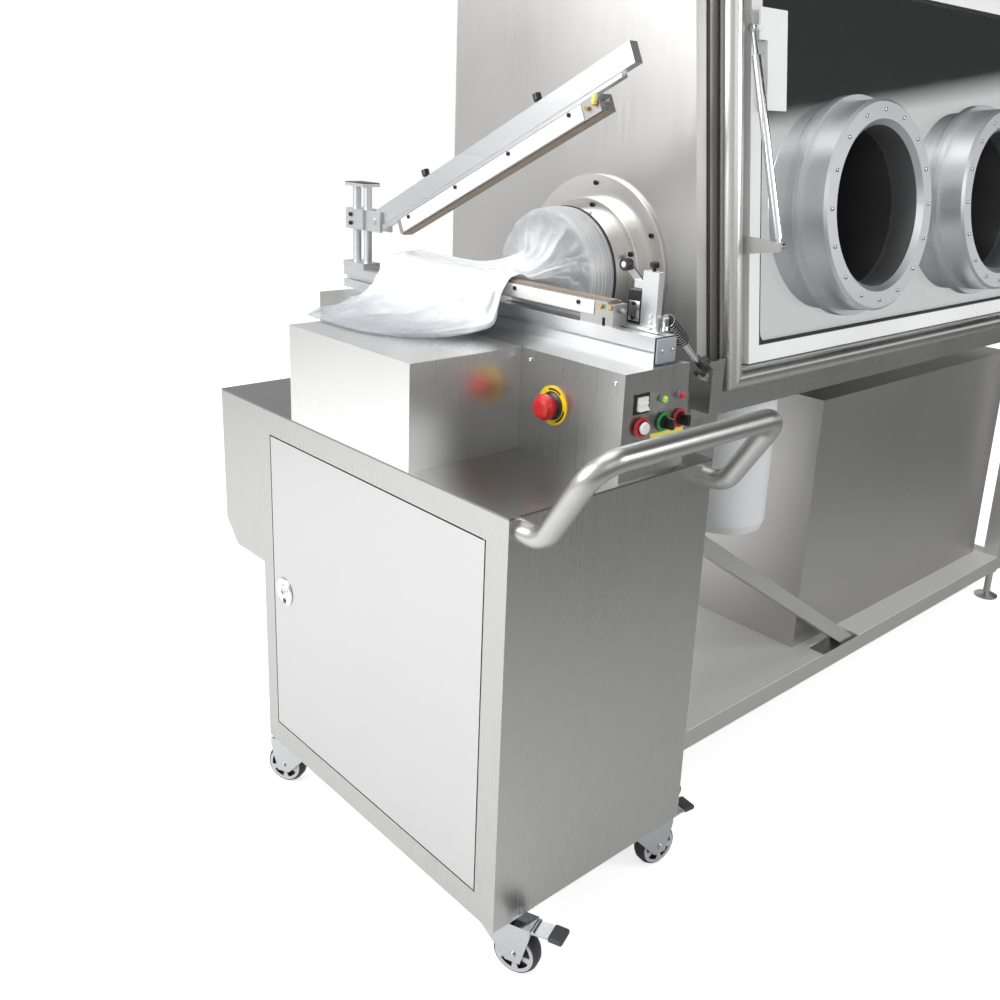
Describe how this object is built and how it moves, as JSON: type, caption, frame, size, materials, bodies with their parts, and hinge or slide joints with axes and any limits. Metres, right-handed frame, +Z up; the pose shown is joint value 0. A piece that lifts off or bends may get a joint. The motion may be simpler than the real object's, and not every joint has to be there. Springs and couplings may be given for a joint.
{
  "type": "containment isolator",
  "caption": "Stainless containment isolator with a slanted hinged glove window, a bag-out port and a docked rolling trolley whose hinged jaws seal the liner bag.",
  "frame": {"origin": "on the floor under the middle of the whole outline", "axes": "+X from the sealing trolley to the isolator, +Y from the operator's side to the rear, +Z up"},
  "size_m": [2.013, 0.9759, 1.815],
  "materials": {
    "chamber_steel": "satin brushed stainless sheet",
    "trolley_steel": "brushed stainless sheet",
    "stand_steel": "brushed stainless tube",
    "collar_steel": "fine satin",
    "filter_white": "white powder coat",
    "window_glass": "clear laminated glass",
    "glove_rubber": "matt black rubber",
    "bag_film": "clear polythene film",
    "bin_plastic": "white polythene",
    "strut_black": "satin dark paint",
    "strut_chrome": "polished rod",
    "castor_chrome": "bright zinc plate",
    "castor_tyre": "grey elastic tyre",
    "bar_aluminium": "clear anodised",
    "jaw_cover": "pale anodised",
    "sealing_tape": "brown glass-cloth tape",
    "lock_chrome": "bright",
    "black_plastic": "black",
    "stop_yellow": "yellow",
    "stop_red": "red",
    "switch_white": "white",
    "lamp_lens": "coloured lens",
    "transformer_iron": "varnished"
  },
  "bodies": {
    "isolator": {"chamber_shell": "chamber_steel", "filter_housings": "filter_white", "front_tube_frame": "stand_steel", "bag_port_flange": "chamber_steel", "bag_port_collar": "collar_steel", "liner_bag": "bag_film", "stand_frame": "stand_steel", "base_pan": "trolley_steel", "levelling_feet": "stand_steel", "waste_bin": "bin_plastic", "under_cabinet": "chamber_steel", "docking_bracket": "stand_steel"},
    "window": {"window_sash": "filter_white", "window_glass": "window_glass", "glove_port_rings": "filter_white", "glove_sleeves": "glove_rubber"},
    "strut_bodies": {"gas_strut_cylinders": "strut_black"},
    "strut_pistons": {"gas_strut_rods": "strut_chrome"},
    "trolley": {"cabinet_shell": "trolley_steel", "worktop_deck": "trolley_steel", "step_box": "trolley_steel", "control_housing": "trolley_steel", "push_handle": "stand_steel", "castor_plates": "castor_chrome", "base_bar": "bar_aluminium", "lower_jaw": "jaw_cover", "lower_sealing_strip": "sealing_tape", "pivot_post": "bar_aluminium", "pivot_clamp": "bar_aluminium", "latch_post": "bar_aluminium", "limit_switch": "bar_aluminium", "docking_rod": "black_plastic", "emergency_stop_plate": "stop_yellow", "pilot_lamps": "lamp_lens", "panel_bezels": "black_plastic", "impulse_transformer": "transformer_iron"},
    "door": {"cabinet_door": "trolley_steel", "door_lock": "lock_chrome"},
    "lock_cam": {"door_lock_cam": "lock_chrome"},
    "arm": {"upper_arm": "bar_aluminium"},
    "floating_jaw": {"upper_jaw": "jaw_cover", "upper_sealing_strip": "sealing_tape", "arm_guide_pins": "strut_chrome"},
    "roller_lever": {"latch_lever": "bar_aluminium"},
    "star_knob": {"docking_knob": "black_plastic"},
    "stop_button": {"emergency_stop_button": "stop_red"},
    "rocker": {"rocker_switch": "switch_white"},
    "green_knob": {"green_selector": "black_plastic"},
    "red_knob": {"red_selector": "black_plastic"},
    "start_button": {"seal_button": "switch_white"},
    "fork_handle_left": {"castor_fork_handle_left": "castor_chrome"},
    "wheel_handle_left": {"castor_wheel_handle_left": "castor_tyre"},
    "brake_handle_left": {"castor_brake_handle_left": "castor_chrome"},
    "fork_handle_right": {"castor_fork_handle_right": "castor_chrome"},
    "wheel_handle_right": {"castor_wheel_handle_right": "castor_tyre"},
    "brake_handle_right": {"castor_brake_handle_right": "castor_chrome"},
    "fork_rear_left": {"castor_fork_rear_left": "castor_chrome"},
    "wheel_rear_left": {"castor_wheel_rear_left": "castor_tyre"},
    "fork_rear_right": {"castor_fork_rear_right": "castor_chrome"},
    "wheel_rear_right": {"castor_wheel_rear_right": "castor_tyre"}
  },
  "joints": [
    {"name": "trolley_undock", "type": "slide", "parent": "isolator", "child": "trolley", "axis": [-1, 0, 0], "range_m": [0, 0.4], "deforming": ["liner_bag"]},
    {"name": "door_open", "type": "hinge", "parent": "trolley", "child": "door", "pos_m": [-0.9985, -0.2955, 0.1505], "axis": [0, 0, 1], "range_deg": [0, 110]},
    {"name": "lock_turn", "type": "hinge", "parent": "door", "child": "lock_cam", "pos_m": [-1.0035, 0.2325, 0.4295], "axis": [1, 0, 0], "range_deg": [-90, 0]},
    {"name": "swivel_handle_left", "type": "hinge", "parent": "trolley", "child": "fork_handle_left", "pos_m": [-0.9565, -0.307, 0.092], "axis": [0, 0, 1], "continuous": true},
    {"name": "roll_handle_left", "type": "hinge", "parent": "fork_handle_left", "child": "wheel_handle_left", "pos_m": [-0.94376, -0.33852, 0.0375], "axis": [0.9272, 0.3746, 0], "continuous": true},
    {"name": "brake_press_handle_left", "type": "hinge", "parent": "fork_handle_left", "child": "brake_handle_left", "pos_m": [-0.93279, -0.36569, 0.0887], "axis": [0.9272, 0.3746, 0], "range_deg": [0, 14]},
    {"name": "swivel_handle_right", "type": "hinge", "parent": "trolley", "child": "fork_handle_right", "pos_m": [-0.6305, -0.307, 0.092], "axis": [0, 0, 1], "continuous": true},
    {"name": "roll_handle_right", "type": "hinge", "parent": "fork_handle_right", "child": "wheel_handle_right", "pos_m": [-0.59683, -0.31173, 0.0375], "axis": [0.1392, 0.9903, 0], "continuous": true},
    {"name": "brake_press_handle_right", "type": "hinge", "parent": "fork_handle_right", "child": "brake_handle_right", "pos_m": [-0.56782, -0.31581, 0.0887], "axis": [0.1392, 0.9903, 0], "range_deg": [0, 14]},
    {"name": "swivel_rear_left", "type": "hinge", "parent": "trolley", "child": "fork_rear_left", "pos_m": [-0.9565, 0.263, 0.092], "axis": [0, 0, 1], "continuous": true},
    {"name": "roll_rear_left", "type": "hinge", "parent": "fork_rear_left", "child": "wheel_rear_left", "pos_m": [-0.97246, 0.29302, 0.0375], "axis": [-0.8829, -0.4695, 0], "continuous": true},
    {"name": "swivel_rear_right", "type": "hinge", "parent": "trolley", "child": "fork_rear_right", "pos_m": [-0.6305, 0.263, 0.092], "axis": [0, 0, 1], "continuous": true},
    {"name": "roll_rear_right", "type": "hinge", "parent": "fork_rear_right", "child": "wheel_rear_right", "pos_m": [-0.60265, 0.2825, 0.0375], "axis": [-0.5736, 0.8192, 0], "continuous": true},
    {"name": "arm_swing", "type": "hinge", "parent": "trolley", "child": "arm", "pos_m": [-0.6985, 0.379, 1.05], "axis": [1, 0, 0], "range_deg": [-40, 25]},
    {"name": "jaw_float", "type": "slide", "parent": "arm", "child": "floating_jaw", "axis": [0, -0.4226, -0.9063], "range_m": [0, 0.005], "stiffness_N_per_m": 2500, "springref_m": -0.02},
    {"name": "lever_press", "type": "hinge", "parent": "trolley", "child": "roller_lever", "pos_m": [-0.6585, -0.245, 1.018], "axis": [1, 0, 0], "range_deg": [-30, 0], "stiffness_Nm_per_rad": 0.06, "springref_deg": 34.38},
    {"name": "star_knob_turn", "type": "hinge", "parent": "trolley", "child": "star_knob", "pos_m": [-0.50851, -0.25125, 0.8727], "axis": [0.8046, 0.2011, -0.5587], "continuous": true},
    {"name": "stop_press", "type": "slide", "parent": "trolley", "child": "stop_button", "axis": [1, 0, 0], "range_m": [0, 0.005], "stiffness_N_per_m": 600, "springref_m": -0.004},
    {"name": "rocker_tip", "type": "hinge", "parent": "trolley", "child": "rocker", "pos_m": [-0.756, -0.344, 0.869], "axis": [1, 0, 0], "range_deg": [0, 10]},
    {"name": "green_selector_turn", "type": "hinge", "parent": "trolley", "child": "green_knob", "pos_m": [-0.7085, -0.342, 0.835], "axis": [0, -1, 0], "range_deg": [-45, 45]},
    {"name": "red_selector_turn", "type": "hinge", "parent": "trolley", "child": "red_knob", "pos_m": [-0.6725, -0.342, 0.835], "axis": [0, -1, 0], "range_deg": [-45, 45]},
    {"name": "start_press", "type": "slide", "parent": "trolley", "child": "start_button", "axis": [0, 1, 0], "range_m": [0, 0.004], "stiffness_N_per_m": 400, "springref_m": -0.003},
    {"name": "window_open", "type": "hinge", "parent": "isolator", "child": "window", "pos_m": [0.2765, -0.14714, 1.5448], "axis": [-1, 0, 0], "range_deg": [0, 45]},
    {"name": "strut_swing", "type": "hinge", "parent": "isolator", "child": "strut_bodies", "pos_m": [0.2765, -0.264, 1.058], "axis": [-1, 0, 0], "range_deg": [-16.75, 1]},
    {"name": "strut_extend", "type": "slide", "parent": "strut_bodies", "child": "strut_pistons", "axis": [0, 0.2681, 0.9634], "range_m": [-0.002, 0.0358]}
  ],
  "couplings": [
    {"joint": "strut_swing", "follows": "window_open", "ratio": -0.35},
    {"joint": "strut_extend", "follows": "window_open", "m_per_rad": 0.043}
  ]
}
